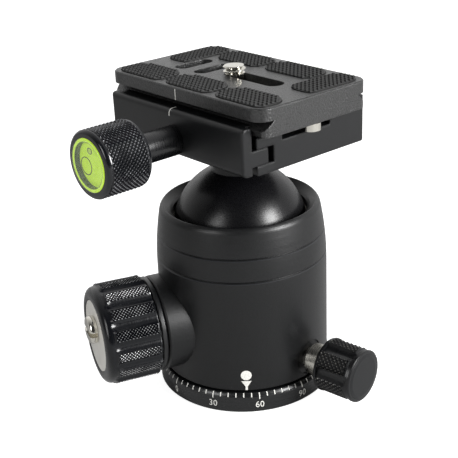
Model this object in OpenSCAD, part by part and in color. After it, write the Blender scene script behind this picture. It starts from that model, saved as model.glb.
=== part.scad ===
// Tripod ball head: a graduated pan base, a housing with a friction ball, a main lock knob,
// a pan lock knob, and a screw clamp that holds a dovetail camera plate.
// Origin: centre of the underside of the base, on the pan axis. +Z is up, +X runs along the plate.
// Compass angles are counted from -Y towards +X, seen from above.

/* [Housing] */
// Outside diameter of the housing
body_d = 48.5; // [47:0.5:49]
// Height of the rim round the ball
rim_z = 54.2; // [53.5:0.1:54.5]
// Heights of the two V grooves
groove_heights = [39.4, 45.9]; // [36:0.1:48]
// Compass angle of the index mark, opposite the drop notch
index_az = 48.9; // [40:0.1:60]

/* [Ball] */
// Diameter of the ball
ball_d = 38; // [37.8:0.1:38]
// Height of the ball's centre
ball_z = 46; // [46:0.1:46.3]
// Diameter of the ball's neck
neck_d = 15; // [13:0.5:15.5]

/* [Pan base] */
// Diameter of the graduated base
base_d = 50.8; // [49:0.1:52]
// Height of the graduated base
base_h = 6; // [5.6:0.1:6]
// Tap drill radius of the 3/8 inch tripod thread
tripod_r = 3.97; // [3.9:0.01:4]

/* [Main knob] */
// Compass angle of the main knob
main_az = -19; // [-30:1:-10]
// Height of the main knob's axis
main_z = 21.45; // [21.3:0.05:21.5]
// Diameter over the knurled lands
main_d = 28.6; // [27:0.1:29]
// Distance of the front edge from the pan axis
main_front = 44.9; // [44.5:0.1:47]
// Number of lands
main_lands = 15; // [11:1:17]

/* [Pan knob] */
// Compass angle of the pan knob
pan_az = 98.4; // [90:0.2:110]
// Height of the pan knob's axis
pan_z = 11.5; // [11.4:0.1:11.9]
// Diameter over the knurled lands
pan_d = 15.2; // [14:0.1:15.5]
// Distance of the end from the pan axis
pan_front = 41.9; // [41:0.1:44]
// Number of lands
pan_lands = 6; // [5:1:8]

/* [Clamp] */
// Length of the clamp along the plate
clamp_l = 53.6; // [50:0.1:56]
// Height of the clamp's underside
clamp_z = 72; // [72:0.1:72.6]
// Distance of the moving jaw's outer face from the middle
jaw_y = 21.6; // [21.4:0.1:22]
// Distance of the fixed jaw's outer face from the middle
fixed_y = 21.3; // [21.2:0.1:22]
// Height of both jaws
jaw_z = 84.7; // [84.4:0.1:84.9]
// Height of the clamp screw's axis
screw_z = 76.65; // [76.6:0.05:76.7]
// Diameter of the clamp knob
clamp_knob_d = 17.8; // [16:0.1:18]
// Distance of the clamp knob's end from the middle
clamp_knob_end = 48; // [47:0.1:50]

/* [Plate] */
// Length of the plate
plate_l = 61.4; // [60:0.1:66]
// Width of the plate
plate_w = 38.4; // [38:0.1:39]
// Height of the plate's top face
plate_z = 89.8; // [89.4:0.1:90.4]
// Corner radius of the plate
plate_r = 4; // [3:0.5:5]
// Half width of the dovetail's foot
foot_y = 17.9; // [17.5:0.1:18]
// How far the camera screw stands above the plate
camera_screw_h = 2.6; // [2.4:0.1:5]

/* [Hidden] */
$fn = 96;

// Clearances
run = 0.05;             // radial play of turning and sliding pieces
gap = 0.1;              // play between flat faces that slide
eps = 0.01;             // overshoot of a cutter

// Housing and ball
body_r = body_d / 2;
body_z = base_h + 0.3;
ball_r = ball_d / 2;
neck_r = neck_d / 2;
bore_r = 20.3;
lip_z = 49.9;
curve_z = 36;
curve_r = 86;
throat_r = 18.9;
notch_r = neck_r + 0.7;
notch_az = index_az + 180;
boss_r = 13.5;
boss_end = 27.45;
bush_r = 5.5;
bush_in = 21.2;
spindle_r = 3;
journal_r = 4;

// Pan base and carrier
base_r = base_d / 2;
hub_r = 9;
hub_z = 14.6;
washer_z = hub_z + 1;
washer_screw_pcd = 13.2;
carrier_z = 16.3;
shoe_r = 2.9;
pan_screw_r = 2.9;

// Wedges and cup
wedge_in = 6;
wedge_out = 16.5;
wedge_w = 9;
wedge_top = 25.4;
wedge_slope = 12;
cup_z = 25.9;
cup_top = 37.3;
cup_r = bore_r - gap;

// Clamp and plate
floor_z = 81.6;
tongue_z = [74.6, 78.7];
jaw_in = 18.6;
body_in = 16.95;
groove_end = 11.3;
tongue_end = 13.3;
grip_y = foot_y + gap;
clamp_screw_r = 2.5;
rail_z = 82.3;
foot_z = rail_z + gap;
foot_top = 83.9;
flange_z = 86.5;
neck_y = 14.6;
lip_in = (jaw_z - foot_top) * (foot_y - neck_y) / (flange_z - foot_top);
web_z = 85;
slot_r = 2.7;
slot_travel = 15.2;
recess_r = 5.5;
pin_x = 28.4;
pin_r = 2.5;
pocket_in = 21.2;
pocket_z = 79.45;

// Colours of the finishes
black_paint = "#2b2c2e";
black_anodised = "#1f2023";
steel = "#b9b7b0";
brass = "#b89a5a";
nylon = "#d8d4c8";

// ---- Helpers ----

// Turns local +Z outwards along a compass angle, with local +Y up
module along(az, z = 0) {
    translate([0, 0, z]) rotate([90, 0, az]) children();
}

// Lays an end profile of [y, z] points along X, centred
module prism_x(points, length) {
    rotate([90, 0, 90]) linear_extrude(length, center = true) polygon(points);
}

// A ring or, without a hole, a disc, from z0 to z1
module ring(outer, inner, z0, z1) {
    difference() {
        translate([0, 0, z0]) cylinder(r = outer, h = z1 - z0);
        if (inner > 0) translate([0, 0, z0 - eps]) cylinder(r = inner, h = z1 - z0 + 2 * eps);
    }
}

// A slot with round ends between two X positions
module slot(x0, x1, r, z0, z1) {
    for (x = [x0, x1]) translate([x, 0, z0]) cylinder(r = r, h = z1 - z0);
    translate([x0, -r, z0]) cube([x1 - x0, 2 * r, z1 - z0]);
}

function unit(v) = v / norm(v);

// Points of a round corner of radius r at b, between neighbours a and c
function corner(a, b, c, r, steps) =
    let (u = unit(a - b), v = unit(c - b), half = acos(u * v) / 2,
         centre = b + unit(u + v) * r / sin(half),
         p = b + u * r / tan(half) - centre, q = b + v * r / tan(half) - centre,
         from = atan2(p.y, p.x), turn = (atan2(q.y, q.x) - from + 540) % 360 - 180)
    [for (i = [0 : steps]) centre + r * [cos(from + turn * i / steps), sin(from + turn * i / steps)]];

// An outline with a radius at each corner; radius 0 keeps the corner sharp
function rounded(points, radii, steps = 6) =
    let (n = len(points))
    [for (i = [0 : n - 1])
        each radii[i] > 0
            ? corner(points[(i + n - 1) % n], points[i], points[(i + 1) % n], radii[i], steps)
            : [points[i]]];

// A rectangle in plan with the same radius at each corner
function plan(length, y0, y1, r) =
    rounded([[-length / 2, y0], [length / 2, y0], [length / 2, y1], [-length / 2, y1]], [r, r, r, r]);

// Height of the ball's lower or upper surface at a radius, for a sphere of radius s
function sphere_z(s, r, side) = ball_z + side * sqrt(s * s - r * r);

// Points of a sphere's meridian between two heights
function meridian(s, z0, z1, steps = 12) =
    [for (i = [0 : steps]) let (z = z0 + (z1 - z0) * i / steps) [sqrt(s * s - pow(z - ball_z, 2)), z]];

// ---- Pan base ----

// Graduated base with its hub: one turned piece with the tripod thread in its underside
module base_plate() {
    groove = 1.8;
    shoulder = 2.4;
    color(black_anodised) difference() {
        rotate_extrude() polygon(concat(
            [[0, 0], [base_r - 0.5, 0], [base_r, 0.5]],
            [for (a = [0 : 8 : 48])
                [base_r - shoulder * (1 - cos(a)), base_h - shoulder * (sin(48) - sin(a))]],
            [[hub_r, base_h],
             [hub_r, pan_z - groove], [hub_r - 1, pan_z - groove + 1],
             [hub_r - 1, pan_z + groove - 1], [hub_r, pan_z + groove],
             [hub_r, hub_z], [0, hub_z]]
        ));
        translate([0, 0, -eps]) cylinder(r = tripod_r, h = 12 + eps);
        // relief ring, so that the base stands on its rim and its centre
        translate([0, 0, -eps]) ring(base_r - 5, 11, 0, 0.5);
        for (a = [0, 120, 240]) rotate(a) translate([washer_screw_pcd / 2, 0, 10])
            cylinder(r = 1, h = hub_z);
    }
}

// Low-friction ring between the base and the carrier
module pan_bearing() {
    color(nylon) ring(19, 11, base_h, base_h + 0.5);
}

// Washer on the hub that holds the carrier down
module pan_washer() {
    color(steel) difference() {
        ring(11, 0, hub_z, washer_z);
        for (a = [0, 120, 240]) rotate(a) translate([washer_screw_pcd / 2, 0, hub_z - eps]) {
            cylinder(r = 1, h = 2);
            translate([0, 0, 0.1]) cylinder(r1 = 1, r2 = 1.95, h = 0.9 + 2 * eps);
        }
    }
}

// Three countersunk screws of the washer
module pan_washer_screws() {
    color(steel) for (a = [0, 120, 240]) rotate(a) translate([washer_screw_pcd / 2, 0, 0]) {
        translate([0, 0, 10.5]) cylinder(r = 1, h = hub_z + 0.1 - 10.5);
        translate([0, 0, hub_z + 0.1]) cylinder(r1 = 1, r2 = 1.88, h = 0.88);
    }
}

// ---- Housing ----

// Radius of the housing's shoulder at a height above the foot of its curve
function shoulder_r(z) = body_r - curve_r + sqrt(curve_r * curve_r - pow(z - curve_z, 2));

// Outline of the housing: straight side, long shoulder curve, round rim and a cone to the throat
function housing_outline() =
    let (foot = rim_z - 1.6, rim_r = 2.7, lean = 11,
         centre = [shoulder_r(foot) - rim_r * cos(lean), foot - rim_r * sin(lean)])
    concat(
        [[bore_r, body_z], [body_r - 0.4, body_z], [body_r, body_z + 0.4]],
        [for (i = [0 : 8]) let (z = curve_z + (foot - curve_z) * i / 8) [shoulder_r(z), z]],
        [for (a = [lean + 8 : 8 : lean + 40]) centre + rim_r * [cos(a), sin(a)]],
        [[21.4, rim_z], [19.6, rim_z - 1.5], [throat_r, rim_z - 2.3], [throat_r, lip_z],
         [bore_r, lip_z]]
    );

// Opening that lets the neck down to the side, cut through rim and wall
module drop_notch(r) {
    along(notch_az, ball_z) {
        translate([0, 0, 12]) cylinder(r = r, h = 18);
        translate([-r, 0, 12]) cube([2 * r, 20, 18]);
    }
}

module housing() {
    color(black_paint) difference() {
        union() {
            rotate_extrude() polygon(housing_outline());
            difference() {
                along(main_az, main_z) {
                    translate([0, 0, 10]) cylinder(r = boss_r, h = boss_end - 10 - 0.5);
                    translate([0, 0, boss_end - 0.5]) cylinder(r1 = boss_r, r2 = boss_r - 0.5, h = 0.5);
                }
                cylinder(r = bore_r + 1, h = rim_z);
            }
        }
        for (z = groove_heights) let (r = shoulder_r(max(z, curve_z)))
            rotate_extrude() polygon([[r - 0.4, z], [r + 0.1, z - 0.5], [r + 0.1, z + 0.5]]);
        drop_notch(notch_r);
        along(main_az, main_z) translate([0, 0, 10]) cylinder(r = bush_r, h = 30);
        along(pan_az, pan_z) {
            translate([0, 0, 15]) cylinder(r = pan_screw_r + run, h = 15);
            translate([0, 0, body_r - 0.8]) cylinder(r = 5.1, h = 5);
        }
        along(notch_az, pan_z) translate([0, 0, 15]) cylinder(r = 1.5, h = 15);
    }
}

// Round carrier that closes the housing, with the pan bearing and the channel of the brake shoe
module pan_carrier() {
    color(steel) difference() {
        ring(bore_r, hub_r + run, base_h + 0.55, carrier_z);
        translate([0, 0, hub_z - run]) cylinder(r = 11.3, h = 5);
        along(pan_az, pan_z) cylinder(r = shoe_r + run, h = bore_r + 1);
        along(notch_az, pan_z) translate([0, 0, 15]) cylinder(r = 1.5, h = 10);
    }
}

// Grub screw that locks the carrier in the housing
module carrier_grub() {
    color(steel) along(notch_az, pan_z) difference() {
        translate([0, 0, 15]) cylinder(r = 1.5, h = 8.3);
        translate([0, 0, 21.5]) cylinder(r = 0.87, h = 3, $fn = 6);
    }
}

// Plain ring above the ball's middle that it is pressed against
module seat_ring() {
    seat_z = 46.6;
    color(nylon) difference() {
        rotate_extrude() polygon(concat(
            meridian(ball_r + run, lip_z, seat_z), [[bore_r, seat_z], [bore_r, lip_z]]
        ));
        drop_notch(notch_r);
    }
}

// Bearing of the lock spindle in the boss
module spindle_bush() {
    color(brass) along(main_az, main_z) ring(bush_r, journal_r + run, bush_in, boss_end - 0.15);
}

// ---- Ball lock ----

// Height of a wedge's sloping face at a distance from the pan axis
function wedge_height(a) = wedge_top + (a - wedge_in) * tan(wedge_slope);

// Body under a sloping face, laid out along local Z, between two distances and across a width
module wedge_shape(from, to, low, lift, width) {
    rotate([0, -90, 0]) linear_extrude(width, center = true) polygon([
        [from, low], [to, low], [to, wedge_height(to) + lift], [from, wedge_height(from) + lift]
    ]);
}

// One wedge round the spindle; side 1 is near the knob and side -1 is across from it
module wedge(side) {
    color(steel) difference() {
        rotate(main_az) rotate(side > 0 ? 0 : 180) rotate([90, 0, 0])
            wedge_shape(wedge_in, wedge_out, carrier_z + run, 0, wedge_w);
        along(main_az, main_z) translate([0, 0, -30]) cylinder(r = spindle_r + run, h = 60);
    }
}

module wedge_near() {
    wedge(1);
}

module wedge_far() {
    wedge(-1);
}

// Cup under the ball, lifted by the two wedges
module lower_cup() {
    inner = 9;
    color(nylon) difference() {
        rotate_extrude() polygon(concat(
            [[inner, cup_z], [cup_r - 0.5, cup_z], [cup_r, cup_z + 0.5], [cup_r, cup_top]],
            meridian(ball_r + run, cup_top, sphere_z(ball_r + run, inner, -1))
        ));
        for (turn = [0, 180]) rotate(main_az + turn) rotate([90, 0, 0])
            wedge_shape(wedge_in, bore_r, cup_z - 1, gap, wedge_w + 2 * gap);
    }
}

// Spindle: a left-hand and a right-hand thread for the two wedges, and a journal in the bush
module lock_spindle() {
    color(steel) along(main_az, main_z) {
        translate([0, 0, -17.6]) cylinder(r = spindle_r, h = 17.6 + 38);
        translate([0, 0, bush_in - gap]) cylinder(r = journal_r, h = boss_end + 0.3 - bush_in + gap);
    }
}

// Clip that keeps the spindle in the housing
module spindle_clip() {
    color(steel) along(main_az, main_z) ring(4.8, spindle_r, bush_in - gap - 0.8, bush_in - gap);
}

// Flange behind the main knob, as wide as the boss
module main_flange() {
    back = boss_end + 0.3;
    front = back + 1.6;
    color(black_anodised) along(main_az, main_z) rotate_extrude() polygon([
        [spindle_r, back], [boss_r - 0.4, back], [boss_r, back + 0.4],
        [boss_r, front - 0.3], [boss_r - 0.3, front],
        [boss_r - 1.5, front], [boss_r - 1.5, front + 0.3], [spindle_r, front + 0.3]
    ]);
}

// Cutter for the flutes between the lands: straight, with a round front end
module flutes(count, radius, cutter_r, back, front) {
    for (i = [0 : count - 1]) rotate((i + 0.5) * 360 / count) translate([0, radius, 0]) {
        translate([0, 0, back]) cylinder(r = cutter_r, h = front - back, $fn = 32);
        translate([0, 0, front]) sphere(r = cutter_r, $fn = 32);
    }
}

module main_knob() {
    r = main_d / 2;
    back = boss_end + 2.2;
    land_end = main_front - 2.85;
    color(black_anodised) along(main_az, main_z) difference() {
        rotate_extrude() polygon([
            [spindle_r, back], [r - 0.6, back], [r, back + 0.6], [r, land_end],
            [r - 0.55, land_end + 0.65], [r - 0.65, main_front - 1.6], [r - 1, main_front - 0.8],
            [r - 1.6, main_front - 0.2], [r - 2.4, main_front], [10.5, main_front],
            [10.2, main_front - 0.3], [10.2, main_front - 1], [0, main_front - 1],
            [0, 38], [spindle_r, 38]
        ]);
        // turned so that a land stands 4 degrees off the top
        rotate(4) flutes(main_lands, r + 1.15, 1.9, back - 1, land_end - 0.75);
        translate([0, drag_y, main_front - 8]) cylinder(r = 1.5, h = 9);
    }
}

drag_y = 2.2;   // the drag screw's distance from the knob's axis
face_t = 0.8;   // thickness of the face plate

module face_plate() {
    color(steel) along(main_az, main_z) difference() {
        ring(10.1, 0, main_front - 1, main_front - 1 + face_t);
        translate([0, drag_y, main_front - 2]) cylinder(r = 3.65, h = 3);
    }
}

// Slotted screw that sets the least friction of the ball
module drag_screw() {
    base = main_front - 1;
    top = main_front + 1.5;
    color(steel) along(main_az, main_z) translate([0, drag_y, 0]) difference() {
        union() {
            translate([0, 0, main_front - 6.7]) cylinder(r = 1.45, h = 6.7);
            translate([0, 0, base + run]) cylinder(r = 3.55, h = top - 0.6 - base - run);
            translate([0, 0, top - 0.6]) cylinder(r1 = 3.55, r2 = 2.95, h = 0.6);
        }
        translate([-5, -0.5, top - 1.3]) cube([10, 1, 2]);
    }
}

// ---- Pan lock ----

shoe_out = 15.4;    // outer end of the brake shoe

// Brake shoe that bears in the hub's groove
module pan_shoe() {
    tip = hub_r - 1 + gap;
    tip_r = 0.8;
    color(brass) along(pan_az, pan_z) {
        translate([0, 0, tip]) cylinder(r1 = tip_r, r2 = shoe_r, h = shoe_r - tip_r);
        translate([0, 0, tip + shoe_r - tip_r]) cylinder(r = shoe_r, h = shoe_out - tip - shoe_r + tip_r);
    }
}

// Screw of the pan lock with its bright collar
module pan_screw() {
    color(steel) along(pan_az, pan_z) {
        translate([0, 0, shoe_out + run]) cylinder(r = pan_screw_r, h = 34 - shoe_out);
        translate([0, 0, body_r + 0.8]) cylinder(r1 = 4.2, r2 = 4.5, h = 0.3);
        translate([0, 0, body_r + 1.1]) cylinder(r = 4.5, h = 4.6);
    }
}

module pan_knob() {
    r = pan_d / 2;
    back = 30.2;
    color(black_anodised) along(pan_az, pan_z) difference() {
        rotate_extrude() polygon([
            [pan_screw_r, back], [r - 0.4, back], [r, back + 0.4],
            [r, pan_front - 1.4], [r - 0.4, pan_front - 1], [r - 0.55, pan_front - 0.8],
            [r - 0.2, pan_front - 0.6], [r - 0.3, pan_front - 0.3], [r - 0.7, pan_front],
            [r - 1, pan_front], [r - 1, pan_front - 1.5],
            [0, pan_front - 1.5], [0, 34 + run], [pan_screw_r, 34 + run]
        ]);
        // turned so that a flute stands 21 degrees off the top
        rotate(21 - 180 / pan_lands) flutes(pan_lands, r + 1.6, 2.5, back + 0.9, pan_front - 3.2);
    }
}

// Low domed cap in the knob's end
module pan_knob_cap() {
    r = pan_d / 2 - 1;
    color(black_anodised) along(pan_az, pan_z) {
        translate([0, 0, pan_front - 1.5]) cylinder(r = r, h = 1.5);
        translate([0, 0, pan_front]) cylinder(r1 = r, r2 = r - 1, h = 0.15);
    }
}

// ---- Ball ----

module ball() {
    top = clamp_z - gap;
    color(black_paint) difference() {
        union() {
            translate([0, 0, ball_z]) sphere(r = ball_r);
            translate([0, 0, ball_z]) cylinder(r = neck_r, h = top - 0.5 - ball_z);
            translate([0, 0, top - 0.5]) cylinder(r1 = neck_r, r2 = neck_r - 0.5, h = 0.5);
        }
        translate([0, 0, clamp_z - 11]) cylinder(r = clamp_screw_r + run, h = 12);
    }
}

// ---- Clamp ----

// Plan outline shared by the clamp's body and its jaw
module clamp_plan(y0, y1, r) {
    translate([0, 0, clamp_z - 1]) linear_extrude(20) polygon(plan(clamp_l, y0, y1, r));
}

// Body of the clamp: the floor, the fixed jaw with its lip, and the groove of the moving jaw
module clamp_body() {
    outline = rounded([
        [-body_in, clamp_z], [fixed_y, clamp_z], [fixed_y, jaw_z],
        [grip_y - lip_in, jaw_z], [grip_y, foot_top], [grip_y, floor_z],
        [-body_in, floor_z], [-body_in, tongue_z[1] + gap], [-groove_end, tongue_z[1] + gap],
        [-groove_end, tongue_z[0] - gap], [-body_in, tongue_z[0] - gap]
    ], [0.4, 1, 1, 0, 0, 0, 0, 0, 0, 0, 0]);
    color(black_anodised) difference() {
        union() {
            intersection() {
                prism_x(outline, clamp_l);
                clamp_plan(-30, fixed_y, 0.6);
            }
            // two rails that carry the plate's foot
            for (y = [-16.5, 12.5]) translate([-rail_x, y, floor_z - 1])
                cube([2 * rail_x, 4, rail_z - floor_z + 1]);
        }
        // bolt into the ball's neck
        translate([0, 0, clamp_z - 1]) cylinder(r = clamp_screw_r, h = 12);
        translate([0, 0, clamp_z + 3.6]) cylinder(r = 4.7, h = 12);
        // thread of the clamp screw
        translate([0, -5.7, screw_z]) rotate([90, 0, 0]) cylinder(r = clamp_screw_r + run, h = 20);
        // pockets of the jaw springs
        for (x = spring_x) translate([x, -6, screw_z]) rotate([90, 0, 0]) cylinder(r = 1.7, h = 8);
        // pockets of the stop pins, open at both ends
        for (side = [-1, 1]) scale([side, 1, 1]) translate([pocket_in, -8.5, pocket_z])
            cube([10, 17, 5]);
    }
}

spring_x = [-16, 16];   // places of the two jaw springs
rail_x = 20.5;          // half length of the rails on the clamp's floor

// Bolt that ties the clamp to the ball's neck
module clamp_bolt() {
    head_z = clamp_z + 3.6;
    color(steel) difference() {
        union() {
            translate([0, 0, clamp_z - 9]) cylinder(r = clamp_screw_r, h = 12.6);
            translate([0, 0, head_z]) cylinder(r = 4.5, h = 4.6);
            translate([0, 0, head_z + 4.6]) cylinder(r1 = 4.5, r2 = 4.2, h = 0.3);
        }
        translate([0, 0, head_z + 2.4]) cylinder(r = 2.3, h = 4, $fn = 6);
    }
}

// Two springs that push the jaw open, drawn as plain sleeves
module jaw_springs() {
    color(steel) for (x = spring_x) translate([x, -6, screw_z]) rotate([90, 0, 0])
        ring(1.55, 1.05, 0, tongue_end - 6);
}

// Moving jaw: a wall with a tongue that runs in the body's groove and a lip for the dovetail
module clamp_jaw() {
    low = clamp_z + 0.5;
    wall = rounded([
        [-jaw_y, low], [-jaw_in, low], [-jaw_in, tongue_z[0]], [-tongue_end, tongue_z[0]],
        [-tongue_end, tongue_z[1]], [-jaw_in, tongue_z[1]], [-jaw_in, jaw_z], [-jaw_y, jaw_z]
    ], [1.4, 0.3, 0, 0.3, 0.3, 0, 0.8, 1.3]);
    grip = [
        [-jaw_in - 1, floor_z + 0.2], [-grip_y, floor_z + 0.2], [-grip_y, foot_top],
        [-grip_y + lip_in, jaw_z], [-jaw_in - 1, jaw_z]
    ];
    color(black_anodised) difference() {
        intersection() {
            union() {
                prism_x(wall, clamp_l);
                prism_x(grip, clamp_l - 4);
            }
            clamp_plan(-jaw_y, 20, 0.6);
        }
        translate([0, -5, screw_z]) rotate([90, 0, 0]) cylinder(r = clamp_screw_r + run, h = 30);
    }
}

// Sleeve between the jaw and the knob
module clamp_sleeve() {
    color(black_anodised) along(0, screw_z) ring(4, clamp_screw_r + run, jaw_y, knob_back - 0.15);
}

// ---- Clamp knob with its level ----

knob_back = clamp_knob_end - 13.1;  // the clamp knob's inner face
level_r = 6.9;                      // radius of the level's recess

module clamp_screw() {
    color(steel) along(0, screw_z) translate([0, 0, 5.9]) cylinder(r = clamp_screw_r, h = 36.1);
}

module clamp_knob() {
    r = clamp_knob_d / 2;
    end = clamp_knob_end;
    color(black_anodised) along(0, screw_z) difference() {
        rotate_extrude() polygon([
            [clamp_screw_r, knob_back], [r - 0.8, knob_back], [r - 0.2, knob_back + 0.5],
            [r - 0.2, knob_back + 1], [r, knob_back + 1.1], [r, end - 1.7],
            [r - 0.4, end - 1.6], [r - 0.4, end - 1.2], [r - 0.1, end - 1], [r - 0.8, end],
            [level_r, end], [level_r, end - 5], [0, end - 5], [0, 42], [clamp_screw_r, 42]
        ]);
    }
}

// White backing disc of the level
module level_base() {
    color("#e8ecd8") along(0, screw_z) ring(level_r, 0, clamp_knob_end - 5, clamp_knob_end - 4.4);
}

module level_liquid() {
    color("#b6dc1e") along(0, screw_z) ring(level_r - 0.7, 0, clamp_knob_end - 4.4, clamp_knob_end - 0.7);
}

// Clear cover of the level, closed in front
module level_vial() {
    end = clamp_knob_end + 0.6;
    color("#dfe8c8", 0.4) along(0, screw_z) rotate_extrude() polygon([
        [level_r - 0.7, clamp_knob_end - 4.4], [level_r, clamp_knob_end - 4.4],
        [level_r, end - 0.5], [level_r - 0.5, end], [0, end],
        [0, clamp_knob_end - 0.7], [level_r - 0.7, clamp_knob_end - 0.7]
    ]);
}

// ---- Plate ----

pad_t = 0.8;        // thickness of the pads
pad_up = 0.25;      // how far they stand above the plate
pad_margin = 1.2;   // from the plate's edge to the pads

// Outline of a pad from its lower left corner, with its four generous corner rounds
function pad_outline(x, y, w, h) =
    rounded([[x, y], [x + w, y], [x + w, y + h], [x, y + h]], [4.6, 3, 4.6, 4]);

// The seven pads: three near, two far and one tall pad at each end
function pads() =
    let (x0 = -plate_l / 2 + pad_margin, x1 = -x0, y0 = -plate_w / 2 + pad_margin, y1 = -y0,
         space = 0.7, w3 = (x1 - x0 - 2 * space) / 3, row = 9.9, tall_w = 9.7, tall_h = 19,
         w2 = (x1 - x0 - 2 * tall_w - 3 * space) / 2)
    concat(
        [for (i = [0 : 2]) pad_outline(x0 + i * (w3 + space), y0, w3, row)],
        [for (i = [0 : 1]) pad_outline(x0 + tall_w + space + i * (w2 + space), y1 - row, w2, row)],
        [for (x = [x0, x1 - tall_w]) pad_outline(x, y1 - tall_h, tall_w, tall_h)]
    );

// Slab in plan with round corners and a chamfered top edge
module slab(length, width, r, z0, z1, chamfer) {
    x = length / 2;
    y = width / 2;
    for (turn = [[0, x - r, y], [90, y - r, x]]) rotate(turn[0]) let (half = turn[2]) prism_x([
        [-half, z0], [half, z0], [half, z1 - chamfer], [half - chamfer, z1],
        [-half + chamfer, z1], [-half, z1 - chamfer]
    ], 2 * turn[1]);
    for (i = [-1, 1]) for (j = [-1, 1]) translate([i * (x - r), j * (y - r), 0]) {
        translate([0, 0, z0]) cylinder(r = r, h = z1 - chamfer - z0);
        translate([0, 0, z1 - chamfer]) cylinder(r1 = r, r2 = r - chamfer, h = chamfer);
    }
}

module plate() {
    half = plate_w / 2;
    foot = [
        [-foot_y + 0.5, foot_z], [foot_y - 0.5, foot_z], [foot_y, foot_z + 0.5], [foot_y, foot_top],
        [neck_y, flange_z], [neck_y, flange_z + 1], [-neck_y, flange_z + 1], [-neck_y, flange_z],
        [-foot_y, foot_top], [-foot_y, foot_z + 0.5]
    ];
    color(black_anodised) difference() {
        union() {
            slab(plate_l, plate_w, plate_r, flange_z, plate_z, 0.3);
            intersection() {
                prism_x(foot, plate_l);
                translate([0, 0, foot_z - 1]) linear_extrude(12)
                    polygon(plan(plate_l, -half, half, plate_r));
            }
        }
        slot(0, slot_travel, slot_r, foot_z - 1, plate_z + 1);
        slot(0, slot_travel, recess_r, foot_z - 1, web_z);
        for (x = [-17, -8.8]) translate([x, 0, 0]) rotate(90)
            slot(-3.8, 3.8, 2.3, foot_z - 1, plate_z + 1);
        for (points = pads()) translate([0, 0, plate_z + pad_up - pad_t])
            linear_extrude(5) polygon(points);
        for (side = [-1, 1]) translate([side * pin_x, 0, foot_z - 1]) cylinder(r = 1.5, h = 4);
    }
}

module plate_pads() {
    color("#3a3a3a") for (points = pads()) translate([0, 0, plate_z + pad_up - pad_t])
        linear_extrude(pad_t) polygon(points);
}

// Two stop pins under the plate's ends
module stop_pins() {
    color(steel) for (side = [-1, 1]) translate([side * pin_x, 0, 0]) {
        translate([0, 0, foot_z - 2]) cylinder(r = pin_r, h = 2);
        translate([0, 0, foot_z]) cylinder(r = 1.5, h = 2.8);
    }
}

// Washer of the camera screw, under the plate's web
module slot_washer() {
    color(nylon) ring(recess_r - 0.3, 2.5 + run, web_z - 0.6, web_z - gap);
}

// Captive camera screw: thread above the plate, thin neck in the slot, slotted head below
module camera_screw() {
    thread_r = 3.175;
    top = plate_z + camera_screw_h;
    head = web_z - 0.65;
    color(steel) difference() {
        union() {
            translate([0, 0, plate_z + 0.2]) cylinder(r1 = thread_r - 0.4, r2 = thread_r, h = 0.4);
            translate([0, 0, plate_z + 0.6]) cylinder(r = thread_r, h = camera_screw_h - 1);
            translate([0, 0, top - 0.4]) cylinder(r1 = thread_r, r2 = thread_r - 0.4, h = 0.4);
            translate([0, 0, head - 1]) cylinder(r = 2.5, h = plate_z + 0.3 - head + 1);
            translate([0, 0, head - 1.9]) cylinder(r = recess_r - 0.5, h = 1.9);
        }
        translate([-4, -0.6, head - 3]) cube([8, 1.2, 2]);
    }
}

base_plate();
pan_bearing();
pan_washer();
pan_washer_screws();
housing();
pan_carrier();
carrier_grub();
seat_ring();
spindle_bush();
lower_cup();
wedge_near();
wedge_far();
lock_spindle();
spindle_clip();
main_flange();
main_knob();
face_plate();
drag_screw();
pan_shoe();
pan_screw();
pan_knob();
pan_knob_cap();
ball();
clamp_body();
clamp_bolt();
jaw_springs();
clamp_jaw();
clamp_sleeve();
clamp_screw();
clamp_knob();
level_base();
level_liquid();
level_vial();
plate();
plate_pads();
stop_pins();
slot_washer();
camera_screw();
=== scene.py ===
import math

import bmesh
import bpy
from mathutils import Matrix, Vector


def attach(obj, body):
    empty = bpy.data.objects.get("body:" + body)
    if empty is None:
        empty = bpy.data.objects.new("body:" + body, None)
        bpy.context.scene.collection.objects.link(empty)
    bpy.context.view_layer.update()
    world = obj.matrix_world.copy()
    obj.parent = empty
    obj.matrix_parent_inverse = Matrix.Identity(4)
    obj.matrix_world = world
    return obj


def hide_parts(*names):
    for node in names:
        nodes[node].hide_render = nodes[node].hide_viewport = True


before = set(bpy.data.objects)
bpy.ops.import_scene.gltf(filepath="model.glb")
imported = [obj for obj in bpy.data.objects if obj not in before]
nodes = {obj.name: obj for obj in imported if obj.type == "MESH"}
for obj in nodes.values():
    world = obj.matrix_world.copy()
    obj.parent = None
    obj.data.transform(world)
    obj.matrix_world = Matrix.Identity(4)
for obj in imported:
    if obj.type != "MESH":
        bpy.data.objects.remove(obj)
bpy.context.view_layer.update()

# ---- Studio ----
# A product table: a white sheet in a room with one pale and one dark side.
# Two soft boxes stand at the camera's left and right, the right one the stronger.


def srgb(code):
    """Linear colour of a hex code such as #1c1d1f."""
    channels = [int(code[i:i + 2], 16) / 255 for i in (1, 3, 5)]
    linear = [c / 12.92 if c <= 0.04045 else ((c + 0.055) / 1.055) ** 2.4 for c in channels]
    return (*linear, 1.0)


def add_node(tree, kind, links=None, **settings):
    """Adds a node; settings go to its fields or sockets, and links join its sockets to others."""
    node = tree.nodes.new("ShaderNode" + kind)
    for name, value in settings.items():
        if hasattr(node, name):
            setattr(node, name, value)
        else:
            node.inputs[name.replace("_", " ")].default_value = value
    for socket, source in (links or {}).items():
        tree.links.new(source, node.inputs[socket])
    return node


def direction(azimuth, elevation=0.0):
    """Unit vector at a compass angle, counted from -Y towards +X."""
    a, e = math.radians(azimuth), math.radians(elevation)
    return Vector((math.sin(a) * math.cos(e), -math.cos(a) * math.cos(e), math.sin(e)))


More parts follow.
